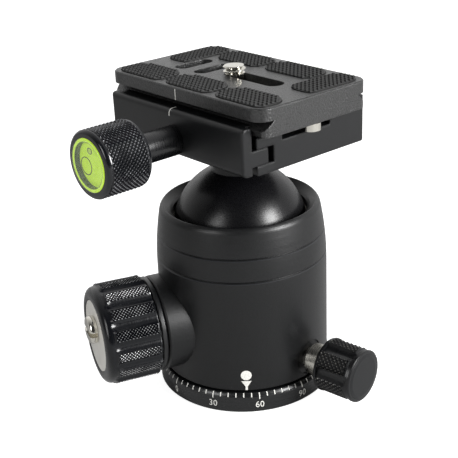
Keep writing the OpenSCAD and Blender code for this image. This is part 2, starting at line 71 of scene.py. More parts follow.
def add_softbox(name, azimuth, elevation, width, height, watts):
    """Soft lamp 1.2 m away, turned to the middle of the head."""
    lamp = bpy.data.lights.new(name, "AREA")
    lamp.shape = "RECTANGLE"
    lamp.size = width
    lamp.size_y = height
    lamp.energy = watts
    box = bpy.data.objects.new(name, lamp)
    middle = Vector((0, 0, 0.05))
    box.location = middle + direction(azimuth, elevation) * 1.2
    box.rotation_euler = (middle - box.location).to_track_quat("-Z", "Y").to_euler()
    bpy.context.scene.collection.objects.link(box)


bpy.context.scene.view_settings.view_transform = "Standard"
# The camera stands 0.3 m away, looks down on the plate and leans a little to one side.
TURN, TILT, LEAN = 49.908, 66.747, -2.617
camera_data = bpy.data.cameras.new("camera")
camera_data.sensor_width = 36
camera_data.lens = 77.716
camera = bpy.data.objects.new("camera", camera_data)
camera.location = (0.195155, -0.168628, 0.155796)
camera.rotation_mode = "QUATERNION"
camera.rotation_quaternion = (
    Matrix.Rotation(math.radians(TURN), 3, "Z")
    @ Matrix.Rotation(math.radians(TILT), 3, "X")
    @ Matrix.Rotation(math.radians(LEAN), 3, "Z")
).to_quaternion()
bpy.context.scene.collection.objects.link(camera)
bpy.context.scene.camera = camera

add_softbox("softbox_left", azimuth=6, elevation=22, width=0.4, height=0.6, watts=4.0)
add_softbox("softbox_right", azimuth=108, elevation=20, width=0.46, height=0.5, watts=24.0)


def straight_view(tree):
    """Socket that is 1 where the eye looks straight at something, or at it through glass."""
    path = add_node(tree, "LightPath")
    return add_node(tree, "Math", {0: path.outputs["Is Camera Ray"],
                                   1: path.outputs["Is Transmission Ray"]},
                    operation="MAXIMUM").outputs[0]


# The room is pale on one side and fades to a dark wall on the other. The eye itself sees it as
# plain white, and only the light and the reflections on the head follow the fade.
world = bpy.data.worlds.new("studio")
world.use_nodes = True
bpy.context.scene.world = world
tree = world.node_tree
tree.nodes.clear()
where = add_node(tree, "TexCoord")
pale = add_node(tree, "VectorMath", {0: where.outputs["Generated"]}, operation="DOT_PRODUCT")
pale.inputs[1].default_value = direction(219, 10)
fade = add_node(tree, "MapRange", {"Value": pale.outputs["Value"]},
                From_Min=-0.38, From_Max=0.72, To_Min=0.05, To_Max=0.95)
seen = add_node(tree, "Math", {0: straight_view(tree), 1: fade.outputs["Result"]},
                operation="MAXIMUM")
glow = add_node(tree, "Background", {"Strength": seen.outputs[0]}, Color=(1, 1, 1, 1))
add_node(tree, "OutputWorld", {"Surface": glow.outputs[0]})

# The sheet adds its own light where the eye looks at it, so it comes out white. Reflections see
# the paper's pale grey as the lamps light it.
bpy.ops.mesh.primitive_plane_add(size=6, location=(0, 0, 0))
floor = bpy.context.object
floor.name = "floor"
paper = bpy.data.materials.new("matt_white_paper_sheet")
paper.use_nodes = True
tree = paper.node_tree
tree.nodes.clear()
# Fibres of the paper, about 1 mm long.
fibre = add_node(tree, "TexNoise", {"Vector": add_node(tree, "TexCoord").outputs["Object"]},
                 Scale=900.0)
tint = add_node(tree, "ValToRGB", {"Fac": fibre.outputs["Fac"]})
tint.color_ramp.elements[0].color = srgb("#c4c4c4")
tint.color_ramp.elements[1].color = srgb("#cccccc")
sheet = add_node(tree, "BsdfDiffuse", {"Color": tint.outputs["Color"]})
glow = add_node(tree, "Emission", {"Strength": straight_view(tree)}, Color=(0.88, 0.88, 0.88, 1))
both = add_node(tree, "AddShader", {0: sheet.outputs[0], 1: glow.outputs[0]})
add_node(tree, "OutputMaterial", {"Surface": both.outputs[0]})
floor.data.materials.append(paper)

# ---- Graduated base ----
# The pan base is one turning of aluminium with a 3/8 inch thread in its underside. It is dyed
# black when anodised, and the fine tool rings of the lathe still show in its satin skin.


def add_finish(name, dark, light, roughness, grain, depth, place=None, edge=0.0, **sockets):
    """Material with one noise of a grain size in mm for its tint, roughness and relief.

    An edge radius in mm rounds the shading of a piece's sharp edges, as a deburred edge is.
    """
    material = bpy.data.materials.new(name)
    material.use_nodes = True
    tree = material.node_tree
    shader = tree.nodes["Principled BSDF"]
    for socket, value in sockets.items():
        shader.inputs[socket.replace("_", " ")].default_value = value
    spot = place(tree) if place else add_node(tree, "TexCoord").outputs["Object"]
    noise = add_node(tree, "TexNoise", {"Vector": spot}, Scale=1000 / grain, Detail=3.0)
    tint = add_node(tree, "ValToRGB", {"Fac": noise.outputs["Fac"]})
    for i, (stop, hue) in enumerate(((0.32, dark), (0.68, light))):
        tint.color_ramp.elements[i].position = stop
        tint.color_ramp.elements[i].color = srgb(hue)
    gloss = add_node(tree, "MapRange", {"Value": noise.outputs["Fac"]}, From_Min=0.3,
                     From_Max=0.7, To_Min=roughness[0], To_Max=roughness[1])
    relief = add_node(tree, "Bump", {"Height": noise.outputs["Fac"]}, Distance=depth / 1000)
    for socket, source in (("Base Color", tint), ("Roughness", gloss), ("Normal", relief)):
        tree.links.new(source.outputs[0], shader.inputs[socket])
    if edge:
        broken = add_node(tree, "Bevel", Radius=edge / 1000, samples=6)
        tree.links.new(broken.outputs[0], relief.inputs["Normal"])
    return material


def turning(azimuth=None, height=0.0):
    """Place rule for lathe work: radius and height about an axis at a compass angle."""
    def place(tree):
        point = add_node(tree, "TexCoord").outputs["Object"]
        if azimuth is not None:
            point = add_node(tree, "Mapping", {"Vector": point}, vector_type="TEXTURE",
                             Location=(0, 0, height / 1000),
                             Rotation=(math.pi / 2, 0, math.radians(azimuth))).outputs[0]
        part = add_node(tree, "SeparateXYZ", {0: point})
        flat = add_node(tree, "CombineXYZ", {"X": part.outputs["X"], "Y": part.outputs["Y"]})
        radius = add_node(tree, "VectorMath", {0: flat.outputs[0]}, operation="LENGTH")
        # a little of the point itself breaks the rings up
        rings = add_node(tree, "CombineXYZ",
                         {"X": radius.outputs["Value"], "Y": part.outputs["Z"]})
        drift = add_node(tree, "VectorMath", {0: point}, operation="SCALE", Scale=0.06)
        return add_node(tree, "VectorMath", {0: rings.outputs[0], 1: drift.outputs[0]},
                        operation="ADD").outputs[0]
    return place


def dress(material, *names):
    """Gives CAD nodes their finish."""
    for name in names:
        nodes[name].data.materials.clear()
        nodes[name].data.materials.append(material)


# Black anodised aluminium, IOR of its oxide: deep black with a satin sheen and fine rings.
base_black = add_finish("black_anodised_turned_base", "#0a0b0c", "#111214", (0.24, 0.36), 0.25,
                        0.004, place=turning(), edge=0.3, IOR=1.6)
dress(base_black, "base_plate")

BASE_R, BASE_H = 25.4, 6
SHOULDER = 2.4          # radius of the shoulder's arc
SCALE_ZERO = -3.18      # compass angle of the zero tick


def add_mesh(name, points, faces, material, place=None, crease=32, wear_and_glint=None):
    """Mesh piece from points in mm, smooth but for edges sharper than the crease angle."""
    mesh = bpy.data.meshes.new(name)
    mesh.from_pydata([Vector(p) / 1000 for p in points], [], faces)
    if wear_and_glint:
        mesh.attributes.new("wear_and_glint", "FLOAT", "POINT").data.foreach_set("value", wear_and_glint)
    mesh.validate()
    shell = bmesh.new()
    shell.from_mesh(mesh)
    bmesh.ops.recalc_face_normals(shell, faces=shell.faces)
    shell.to_mesh(mesh)
    shell.free()
    mesh.shade_smooth()
    mesh.set_sharp_from_angle(angle=math.radians(crease))
    mesh.materials.append(material)
    piece = bpy.data.objects.new(name, mesh)
    if place:
        piece.matrix_world = place
    bpy.context.scene.collection.objects.link(piece)
    return piece


def ribbon(rows, width):
    """Closed strip of a width from rows of (middle, outward, sideways) vectors in mm."""
    points, faces = [], []
    for middle, out, side in rows:
        for step, lift in ((-0.5, 0.03), (0.5, 0.03), (0.5, -0.08), (-0.5, -0.08)):
            points.append(middle + side * step * width + out * lift)
    for i in range(len(rows) - 1):
        a = 4 * i
        faces += [(a + k, a + (k + 1) % 4, a + 4 + (k + 1) % 4, a + 4 + k) for k in range(4)]
    last = 4 * len(rows) - 4
    return points, faces + [(3, 2, 1, 0), (last, last + 1, last + 2, last + 3)]


def joined(parts):
    """One list of points and one of faces from several of each."""
    points, faces = [], []
    for some_points, some_faces in parts:
        faces += [tuple(i + len(points) for i in face) for face in some_faces]
        points += some_points
    return points, faces


def tick(angle, last):
    """Graduation tick down the base's round shoulder, which starts at 48 degrees, to an angle."""
    centre = direction(angle) * (BASE_R - SHOULDER)
    centre.z = BASE_H - SHOULDER * math.sin(math.radians(48))
    rows = []
    for a in range(46, last - 1, -4):
        lean = direction(angle, a)
        rows.append((centre + lean * SHOULDER, lean, direction(angle + 90)))
    return ribbon(rows, 0.3)


# Enamel wiped into the engraving: a clean, slightly warm white that is not quite flat.
white_fill = add_finish("white_enamel_engraving_fill", "#d9d8d2", "#efeee9", (0.45, 0.6), 0.3,
                        0.01)
ticks = add_mesh("graduation_ticks", *joined(
    [tick(SCALE_ZERO + a, 2 if a % 30 == 0 else 18) for a in range(0, 360, 5)]), white_fill)
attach(ticks, "base")


def numeral(text, angle, radius, low, height):
    """Narrow digits in the plain font, bent round the base and centred on a compass angle."""
    curve = bpy.data.curves.new("digits", "FONT")
    curve.body = text
    curve.align_x = "CENTER"
    curve.size = height / 0.7   # a digit is 0.7 as high as its line
    curve.offset = 0.01         # a hair bolder than the font
    curve.extrude = 0.04
    curve.resolution_u = 3
    curve.space_character = 1.05
    writing = bpy.data.objects.new("digits", curve)
    mesh = bpy.data.meshes.new_from_object(writing)
    points = []
    for vertex in mesh.vertices:
        x, y, z = vertex.co
        around = angle + math.degrees(0.92 * x / radius)
        points.append(direction(around) * (radius - 0.01 + z) + Vector((0, 0, low + y)))
    faces = [tuple(polygon.vertices) for polygon in mesh.polygons]
    bpy.data.meshes.remove(mesh)
    bpy.data.objects.remove(writing)
    bpy.data.curves.remove(curve)
    return points, faces


numerals = add_mesh("graduation_numerals", *joined(
    [numeral(str(a), SCALE_ZERO + a, BASE_R, low=1.7, height=1.9) for a in range(0, 360, 30)]),
    white_fill)
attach(numerals, "base")

# ---- Pan bearing and carrier ----
# The carrier closes the housing from below and turns on a low-friction ring, held on the base's
# hub by a washer with three countersunk screws. A grub screw through the wall locks it.

# Nylon, machined: an ivory plastic with a soft gloss and faint tool rings.
nylon = add_finish("ivory_nylon_machined", "#cfcbbd", "#dcd9cd", (0.3, 0.45), 0.4, 0.01,
                   place=turning(), IOR=1.48)
dress(nylon, "pan_bearing")
# Zinc plated steel: a cool grey metal, dulled by a fine crystal grain.
zinc_steel = add_finish("zinc_plated_steel", "#9a9b9a", "#bdbebc", (0.28, 0.45), 0.35, 0.01,
                        Metallic=1.0)
dress(zinc_steel, "pan_washer", "pan_washer_screws", "pan_carrier", "carrier_grub")

# ---- Housing ----
# The housing is a bored block of aluminium, turned and milled, with a boss for the lock
# spindle, two V grooves and a notch for the neck. It is bead blasted, then anodised black.

# Blasted anodised aluminium: a dry, even black that glows only at grazing angles.
# The real blast grain is about 0.1 mm and is drawn at 0.35 mm, so that it shows.
housing_black = add_finish("black_anodised_bead_blasted", "#0c0c0d", "#131415", (0.32, 0.42), 0.35,
                           0.02, IOR=1.45)


def lay_over(material, share, hue):
    """Lays a hue over a material's own colour by a share from 0 to 1."""
    tree = material.node_tree
    base = tree.nodes["Principled BSDF"].inputs["Base Color"]
    # sockets 6 and 7 of a colour mix are its two colours, and output 2 is their mixture
    tint = add_node(tree, "Mix", {0: share, 6: base.links[0].from_socket}, data_type="RGBA")
    tint.inputs[7].default_value = srgb(hue)
    tree.links.new(tint.outputs[2], base)


# Thin pale lines are laid on the lower flanks of the two V grooves: a painted highlight where they
# catch the light.
tree = housing_black.node_tree
height = add_node(tree, "SeparateXYZ", {0: add_node(tree, "TexCoord").outputs["Object"]})
flank_highlights = []
for groove in (39.4, 45.9):
    flank_highlight = add_node(tree, "Math", {0: height.outputs["Z"]}, operation="COMPARE")
    flank_highlight.inputs[1].default_value = (groove - 0.36) / 1000
    flank_highlight.inputs[2].default_value = 0.08 / 1000
    flank_highlights.append(flank_highlight.outputs[0])
groove_highlight = add_node(tree, "Math", dict(enumerate(flank_highlights)), operation="MAXIMUM")
lay_over(housing_black, groove_highlight.outputs[0], "#26272a")
dress(housing_black, "housing")

HOUSING_R = 24.25
INDEX_AZ = 48.9


def wrapped(outline, angle, radius):
    """Thin closed patch round a cylinder from rows of (half width, height) in mm."""
    points, faces, steps = [], [], 8
    for lift in (0.03, -0.08):
        for half, z in outline:
            for i in range(steps + 1):
                around = angle + math.degrees(half * (2 * i / steps - 1) / radius)
                points.append(direction(around) * (radius + lift) + Vector((0, 0, z)))
    rows, wide = len(outline), steps + 1
    under = rows * wide
    for j in range(rows - 1):
        for i in range(steps):
            a = j * wide + i
            faces.append((a, a + 1, a + wide + 1, a + wide))
            faces.append((under + a, under + a + wide, under + a + wide + 1, under + a + 1))
        for a, b in ((j * wide, (j + 1) * wide), ((j + 2) * wide - 1, (j + 1) * wide - 1)):
            faces.append((a, b, under + b, under + a))
    for i in range(steps):
        last = (rows - 1) * wide + i
        faces.append((i + 1, i, under + i, under + i + 1))
        faces.append((last, last + 1, under + last + 1, under + last))
    return points, faces


# The index: a printed dot over a pointer that narrows to a stem at the scale.
DOT_R, DOT_Z = 1.5, 11.39
dot = [(DOT_R * math.cos(math.radians(a)) + 0.001, DOT_Z + DOT_R * math.sin(math.radians(a)))
       for a in range(-90, 91, 10)]
pointer = [(0.325, 6.75), (0.325, 7.9), (0.875, 8.75), (1.425, 9.6)]
index = add_mesh("housing_index", *joined(
    [wrapped(dot, INDEX_AZ, HOUSING_R), wrapped(pointer, INDEX_AZ, HOUSING_R)]), white_fill)
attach(index, "housing")

# ---- Seat ring and spindle bush ----
# A low-friction ring above the ball's middle takes its push, and a turned brass bush in the boss
# carries the lock spindle.
dress(nylon, "seat_ring")
# Brass, turned: warm yellow metal with fine bright rings.
brass = add_finish("brass_turned", "#a8874c", "#c4a66a", (0.22, 0.36), 0.3, 0.006, Metallic=1.0)
dress(brass, "spindle_bush")

# ---- Wedges, cup and spindle ----
# The spindle has a left-hand and a right-hand thread. It draws two steel wedges together, and
# they lift the cup against the ball.
dress(nylon, "lower_cup")
dress(zinc_steel, "wedge_near", "wedge_far", "lock_spindle", "spindle_clip")

# ---- Main knob ----
# The flange ring behind the knob is turned. The knob is a turning with fifteen flutes milled
# between diamond knurled lands, which stand over a smooth round rim, and it is black anodised.
MAIN_AXIS = (-19, 21.45)    # compass angle, and height in mm
# Turned and anodised like the base: a satin black ring between the blasted boss and the knob.
flange_black = add_finish("black_anodised_turned_flange", "#08090a", "#0e0f11", (0.28, 0.38), 0.25,
                          0.006, place=turning(*MAIN_AXIS), edge=0.3, IOR=1.6)
dress(flange_black, "main_flange")


def along(azimuth, height=0.0):
    """Turns a piece's own Z outwards along a compass angle, at a height in mm."""
    return (Matrix.Translation((0, 0, height / 1000))
            @ Matrix.Rotation(math.radians(azimuth), 4, "Z")
            @ Matrix.Rotation(math.pi / 2, 4, "X"))


def lathe(rows, columns, start, end, cut=None, depth=0.0):
    """Closed turning with knurl and flutes.

    rows hold (radius, height) and, on a knurl, its row; columns hold (angle, knurl column), and
    start and end are the heights on the axis. Two grooves cross where the knurl numbers add up
    to even. The last list says how far each point gets a bare-metal tint, on a knurl's peaks and
    on "edge" rows: partly wear, and partly a painted glint and a painted edge highlight.
    """
    rows = [(*row, None)[:3] for row in rows]
    points = [Vector((0, 0, start)), Vector((0, 0, end))]
    wear_and_glint = [0.0, 0.0]
    for radius, height, k in rows:
        for angle, c in columns:
            r = radius
            # rows marked edge get a bare-metal tint: a painted highlight along the knob's rear
            # edge
            wear_and_glint.append(0.75 if k == "edge" else 0.0)
            if k not in (None, "edge") and c is not None:
                wear_and_glint[-1] = float((k + c) % 2)
                r -= depth * (1 - wear_and_glint[-1])
            if cut:
                r = min(r, cut(angle, height))
            a = math.radians(angle)
            points.append(Vector((-r * math.sin(a), r * math.cos(a), height)))
    faces, n = [], len(columns)
    for j in range(n):
        k = (j + 1) % n
        faces.append((0, 2 + j, 2 + k))
        last = 2 + (len(rows) - 1) * n
        faces.append((1, last + k, last + j))
        for i in range(len(rows) - 1):
            a, b = 2 + i * n + j, 2 + i * n + k
            quad = (a, a + n, b + n, b)
            numbers = (rows[i][2], rows[i + 1][2], columns[j][1], columns[k][1])
            knurled = None not in numbers and "edge" not in numbers
            if not knurled:
                faces.append(quad)
            elif (rows[i][2] + columns[j][1]) % 2 == 0:
                faces += [(quad[0], quad[1], quad[2]), (quad[0], quad[2], quad[3])]
            else:
                faces += [(quad[1], quad[2], quad[3]), (quad[1], quad[3], quad[0])]
    return points, faces, wear_and_glint


def add_lathe(name, turned_part, material, place=None, crease=32):
    """Mesh piece from what lathe gives, with its bare-metal tint, wear and painted glint, kept for
    the material.
    """
    points, faces, wear_and_glint = turned_part
    return add_mesh(name, points, faces, material, place, crease, wear_and_glint)


def rub(material, hue):
    """Lets bare metal of a hue through a material where its mesh is marked, unevenly: partly wear,
    and partly a painted glint on points and a painted highlight on edges.
    """
    tree = material.node_tree
    rubbed_and_glint = add_node(tree, "Attribute", attribute_name="wear_and_glint")
    uneven = add_node(tree, "TexNoise", {"Vector": add_node(tree, "TexCoord").outputs["Object"]},
                      Scale=330.0, Detail=1.0)
    edge = add_node(tree, "MapRange", {"Value": uneven.outputs["Fac"]}, From_Min=0.35,
                    From_Max=0.65, To_Min=0.8, To_Max=0.5)
    bare_and_glint = add_node(tree, "MapRange", {"Value": rubbed_and_glint.outputs["Fac"],
                                       "From Min": edge.outputs["Result"]}, From_Max=0.85)
    lay_over(material, bare_and_glint.outputs["Result"], hue)
    tree.links.new(bare_and_glint.outputs["Result"], tree.nodes["Principled BSDF"].inputs["Metallic"])


def knurl_rows(radius, low, high, count):
    """Evenly spaced rows of a knurl, each with its number."""
    return [(radius, low + (high - low) * k / count, k) for k in range(count + 1)]


def fluted(count, centre, cutter, front, back, turn, half, lands):
    """Columns and cut of a knob whose flutes are milled by a round cutter.

    The cutter's centre runs at a radius from the height back, and rises out from the height
    front. The first flute is at the angle turn, each is twice half wide, and each land between
    them has so many knurl steps.
    """
    unit, columns = 360 / count, []
    for i in range(count):
        middle = turn + i * unit
        columns += [(middle + half * s / 6, None) for s in range(-6, 6)]
        land = unit - 2 * half
        columns += [(middle + half + land * (s + 0.02) / lands, s) for s in range(lands)]
        columns.append((middle + half + land * 0.995, lands))

    def cut(angle, height):
        off = abs((angle - turn + unit / 2) % unit - unit / 2)
        reach = cutter ** 2 - (0.7 * max(0, height - front)) ** 2 if height > back else 0
        inside = reach - (centre * math.sin(math.radians(off))) ** 2
        if reach <= 0 or inside <= 0:
            return math.inf
        return centre * math.cos(math.radians(off)) - math.sqrt(inside)
    return columns, cut


MAIN_R = 14.3
columns, cut = fluted(15, MAIN_R + 1.45, cutter=2.3, front=41.1, back=0, turn=16, half=6.82,
                      lands=5)
rows = [(3, 38), (3, 29.65), (13.8, 29.65), (14.1, 29.78, "edge"), (14.25, 30.0), (MAIN_R, 30.2)]
rows += knurl_rows(MAIN_R, 30.35, 41.85, 24)
rows += [(14.28, 42.05), (13.84, 42.5), (13.74, 42.8), (13.68, 43.3), (13.5, 43.8),
         (13.14, 44.25), (12.66, 44.6), (12.1, 44.82), (11.5, 44.9), (10.55, 44.9),
         (10.3, 44.8), (10.2, 44.6), (10.2, 43.92)]
# Turned and knurled black anodised aluminium: the diamonds' flats glint one by one. Their points,
# and a ring at the rear edge, get a bare-metal tint that is partly handling wear and partly
# painted glints and a painted edge highlight.
knob_black = add_finish("black_anodised_knurled_knob", "#07080b", "#0d0f13", (0.18, 0.28), 0.25,
                        0.004, place=turning(), IOR=1.45)
rub(knob_black, "#f4f5f6")
knob = add_lathe("fluted_main_knob", lathe(rows, columns, 38, 43.92, cut, depth=0.36),
                 knob_black, along(*MAIN_AXIS), crease=24)
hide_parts("main_knob")
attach(knob, "main_knob")

# ---- Face plate ----
# The face plate is a disc of stainless steel, pressed into the knob's end. Its brushing runs
# straight across and gives the flat grey its faint streaks.


def brushed(azimuth, height, stretch):
    """Place rule for straight brushing, with streaks that many times longer than wide."""
    def place(tree):
        point = add_node(tree, "TexCoord").outputs["Object"]
        return add_node(tree, "Mapping", {"Vector": point}, vector_type="TEXTURE",
                        Location=(0, 0, height / 1000),
                        Rotation=(math.pi / 2, 0, math.radians(azimuth)),
                        Scale=(1, stretch, 1)).outputs[0]
    return place


silver = add_finish("stainless_steel_brushed", "#e9e7e1", "#f6f4ee", (0.45, 0.6), 0.3, 0.004,
                    place=brushed(*MAIN_AXIS, stretch=14), Metallic=0.85)
dress(silver, "face_plate")

# ---- Friction screw ----
# The friction screw in the face is turned from brass, with a domed head that is slotted with a
# saw and then nickel plated.


def cut_slot(piece, low, high):
    """Mills a box, given by two corners in mm in the piece's own frame, out of a piece."""
    box = bpy.data.meshes.new("slot_cutter")
    box.from_pydata([Vector((x, y, z)) / 1000 for x in (low[0], high[0])
                     for y in (low[1], high[1]) for z in (low[2], high[2])], [],
                    [(0, 1, 3, 2), (4, 6, 7, 5), (0, 4, 5, 1), (2, 3, 7, 6), (0, 2, 6, 4),
                     (1, 5, 7, 3)])
    cutter = bpy.data.objects.new("slot_cutter", box)
    cutter.matrix_world = piece.matrix_world
    bpy.context.scene.collection.objects.link(cutter)
    trim = piece.modifiers.new("driver_slot", "BOOLEAN")
    trim.object = cutter
    trim.solver = "EXACT"
    bpy.context.view_layer.update()
    piece.data = bpy.data.meshes.new_from_object(
        piece.evaluated_get(bpy.context.evaluated_depsgraph_get()))
    piece.modifiers.clear()
    piece.data.set_sharp_from_angle(angle=math.radians(32))
    bpy.data.objects.remove(cutter)


# Bright nickel plate: warm, pale and almost mirror-like.
nickel = add_finish("bright_nickel_plate", "#d2cfc6", "#dedbd2", (0.07, 0.14), 0.5, 0.003,
                    Metallic=1.0)
DRAG_RISE = 2.2         # the screw sits above the knob's own axis
columns = [(5 * i, None) for i in range(72)]
rows = [(1.45, 38.25), (1.45, 43.95), (3.55, 43.96), (3.55, 44.78), (3.85, 44.8), (3.95, 45.1),
        (3.95, 46.0), (3.8, 46.45), (3.45, 46.8), (2.8, 46.98)]
drag = add_lathe("slotted_friction_screw", lathe(rows, columns, 38.25, 47.0), nickel,
                 along(*MAIN_AXIS) @ Matrix.Translation((0, DRAG_RISE / 1000, 0)))
cut_slot(drag, (-6, -0.7, 44.95), (6, 0.7, 49))
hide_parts("drag_screw")
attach(drag, "drag_screw")

# ---- Pan lock ----
# A brass shoe bears on the hub's groove. Its screw has a bright collar and a small fluted knob,
# knurled on six lands between smooth rims, with a pressed cap in its end.
PAN_AXIS = (98.4, 11.5)     # compass angle, and height in mm
dress(brass, "pan_shoe")
# Nickel plate over a turned collar: bright, but blurred by the fine rings of the tool.
nickel_satin = add_finish("satin_nickel_turned_collar", "#c9c6bd", "#dcd9d0", (0.22, 0.3), 0.25,
                          0.001, place=turning(*PAN_AXIS), Metallic=1.0)
dress(nickel_satin, "pan_screw")
PAN_R = 7.6
columns, cut = fluted(6, PAN_R + 1.6, cutter=2.5, front=38.7, back=31.09, turn=21, half=13.19,
                      lands=7)
rows = [(2.9, 34.05), (2.9, 30.2), (7.25, 30.2), (7.5, 30.35), (PAN_R, 30.6), (PAN_R, 31.08),
        (PAN_R, 31.1)]
rows += knurl_rows(PAN_R, 31.15, 39.75, 13)
rows += [(7.58, 39.95), (7.3, 40.3), (7.22, 40.7), (7.1, 41.0), (7.1, 41.15), (7.4, 41.28),
         (7.38, 41.55), (7.15, 41.8), (6.9, 41.9), (6.62, 41.9), (6.6, 40.42)]
# Turned and knurled, then anodised like the main knob, but duller, and its points get less of
# the bare-metal tint that is partly wear and partly painted glint.
pan_black = add_finish("black_anodised_small_knurl", "#08080a", "#0e0f11", (0.26, 0.36), 0.25,
                       0.004, place=turning(), IOR=1.48)
rub(pan_black, "#84827c")
pan = add_lathe("fluted_pan_knob", lathe(rows, columns, 34.05, 40.42, cut, depth=0.34),
                pan_black, along(*PAN_AXIS), crease=24)
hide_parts("pan_knob")
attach(pan, "pan_knob")
# The cap is faced off on the lathe: an even, duller black with finer rings.
cap_black = add_finish("black_anodised_faced_cap", "#0c0d0e", "#131416", (0.3, 0.4), 0.2, 0.004,
                       place=turning(*PAN_AXIS), edge=0.2, IOR=1.37)
dress(cap_black, "pan_knob_cap")

# ---- Ball ----
# The friction ball is turned with its neck from one bar, ground round and hard anodised. The
# skin is a smooth, slightly waxy black that keeps its highlights soft.
ball_black = add_finish("black_hard_anodised_ground", "#08080a", "#0d0d0f", (0.24, 0.34), 0.25,
                        0.005, IOR=1.4)
dress(ball_black, "ball")

# ---- Clamp ----
# The clamp's body and moving jaw are extruded bars of aluminium, milled to length and anodised
# black. A steel bolt holds the body on the neck, and two coil springs push the jaw open.
CLAMP_AXIS = (0, 76.65)     # compass angle, and height in mm
# Milled bar, anodised: a smooth, even black whose edges are broken by a round cutter.
milled_black = add_finish("black_anodised_milled_bar", "#090a0b", "#0f1012", (0.3, 0.42), 0.3,
                          0.006, edge=0.9, IOR=1.45)
dress(milled_black, "clamp_body", "clamp_jaw")
dress(zinc_steel, "clamp_bolt", "clamp_screw")
# The sleeve between jaw and knob is turned, and glossier than the bars.
sleeve_black = add_finish("black_anodised_turned_sleeve", "#07080a", "#0c0d10", (0.24, 0.32), 0.25,
                          0.006, place=turning(*CLAMP_AXIS), edge=0.2, IOR=1.6)
dress(sleeve_black, "clamp_sleeve")


def coil(x, start, end, z, radius, wire, turns):
    """Closed coil spring along -Y with a dead turn at each end."""
    steps, around = 16, 8
    count = turns * steps
    points = []
    for i in range(count + 1):
        t = min(max((i / steps - 1) / (turns - 2), 0), 1)
        a = 2 * math.pi * i / steps
        out = Vector((math.cos(a), 0, math.sin(a)))
        middle = Vector((x, start - wire / 2 + (end - start + wire) * t, z)) + out * radius
        for j in range(around):
            b = 2 * math.pi * j / around
            skin = out * math.cos(b) + Vector((0, 1, 0)) * math.sin(b)
            points.append(middle + skin * wire / 2)
    faces = [tuple(range(around - 1, -1, -1)),
             tuple(count * around + j for j in range(around))]
    for i in range(count):
        for j in range(around):
            a, b = i * around + j, i * around + (j + 1) % around
            faces.append((a, b, b + around, a + around))
    return points, faces


# Spring steel wire: drawn, so it is a bright grey along its length.
spring_steel = add_finish("drawn_spring_steel_wire", "#8d8f90", "#aeb0b0", (0.25, 0.4), 0.4,
                          0.004, Metallic=1.0)
springs = add_mesh("jaw_coil_springs", *joined(
    [coil(x, start=-6, end=-13.3, z=CLAMP_AXIS[1], radius=1.3, wire=0.45, turns=8)
     for x in (-16, 16)]), spring_steel)
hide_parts("jaw_springs")
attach(springs, "clamp")


def line_mark(name, path, body):
    """White line 0.35 mm wide across a bar's long edge, from (y, z, slope) points."""
    rows = [(Vector((-1.3, y, z)), direction(0, a), Vector((1, 0, 0))) for y, z, a in path]
    line = add_mesh(name, *ribbon(rows, 0.35), white_fill)
    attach(line, body)


# The centre mark of the moving jaw runs over its round upper edge.
JAW_EDGE_R, JAW_EDGE_Y, JAW_EDGE_Z = 1.3, -20.3, 83.4
path = [(-19.2, JAW_EDGE_Z + JAW_EDGE_R, 90)]
path += [(JAW_EDGE_Y - JAW_EDGE_R * math.cos(math.radians(a)),
          JAW_EDGE_Z + JAW_EDGE_R * math.sin(math.radians(a)), a) for a in range(90, -1, -15)]
path += [(JAW_EDGE_Y - JAW_EDGE_R, 82.9, 0)]
line_mark("jaw_centre_mark", path, "jaw")

# ---- Clamp knob ----
# The knob on the clamp's screw is turned from aluminium bar, with a sharp diamond knurl between
# two smooth rims, and a pocket for the level in its end. It is black anodised.
KNOB_R = 8.9
columns = [(4 * i, i) for i in range(90)]
rows = [(2.5, 42), (2.5, 34.9), (8.0, 34.9), (8.4, 35.02), (8.65, 35.3), (8.7, 35.6), (8.7, 35.86)]
rows += knurl_rows(KNOB_R, 36.0, 46.3, 18)
rows += [(8.52, 46.45), (8.5, 46.7), (8.58, 46.84), (8.78, 46.96), (8.8, 47.15), (8.66, 47.5),
         (8.4, 47.8), (8.1, 47.95), (7.7, 48), (6.92, 48), (6.9, 43)]
# The sharpest knurl of the three, so its black is glossy; its points get a bare-metal tint that
# is partly wear and partly painted glint.
clamp_black = add_finish("black_anodised_sharp_knurl", "#07080b", "#0d0f13", (0.14, 0.22), 0.25,
                         0.004, place=turning(), IOR=1.55)
rub(clamp_black, "#b4b5b9")
grip = add_lathe("knurled_clamp_knob", lathe(rows, columns, 42, 43, depth=0.38), clamp_black,
                 along(*CLAMP_AXIS), crease=24)
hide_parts("clamp_knob")
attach(grip, "clamp_knob")

# ---- Bull's-eye level ----
# A white acrylic cup is pressed into the knob's end, filled with dyed spirit and closed by a clear
# cover, with a printed ring to read the bubble against.

# Moulded acrylic: a milky, faintly green white with a soft gloss.
level_white = add_finish("white_acrylic_moulded", "#dfe2d2", "#eceede", (0.3, 0.4), 0.6, 0.004,
                         IOR=1.49)
dress(level_white, "level_base")


def turned_mesh(name, rows, start, end, material, steps=96):
    """Plain turning on the clamp knob's axis."""
    columns = [(360 * i / steps, None) for i in range(steps)]
    return add_lathe(name, lathe(rows, columns, start, end), material, along(*CLAMP_AXIS))


# Dyed yellow-green spirit, drawn as a solid body with a painted glow: a little light of its own
# that brightens it.
spirit = add_finish("yellow_green_dyed_spirit_painted_glow", "#b9dc30", "#c6e644", (0.3, 0.36), 1.2, 0.002,
                    IOR=1.36, Emission_Color=srgb("#b9e02a"), Emission_Strength=0.42)
rows = [(6.55, 43.62), (6.6, 46.6), (6.84, 46.8), (6.84, 47.95), (6.7, 48.1), (6.1, 48.1),
        (6.0, 48.0), (6.0, 46.5)]
well = turned_mesh("level_liquid_body", rows, 43.62, 46.5, spirit)
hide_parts("level_liquid")
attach(well, "clamp_knob")


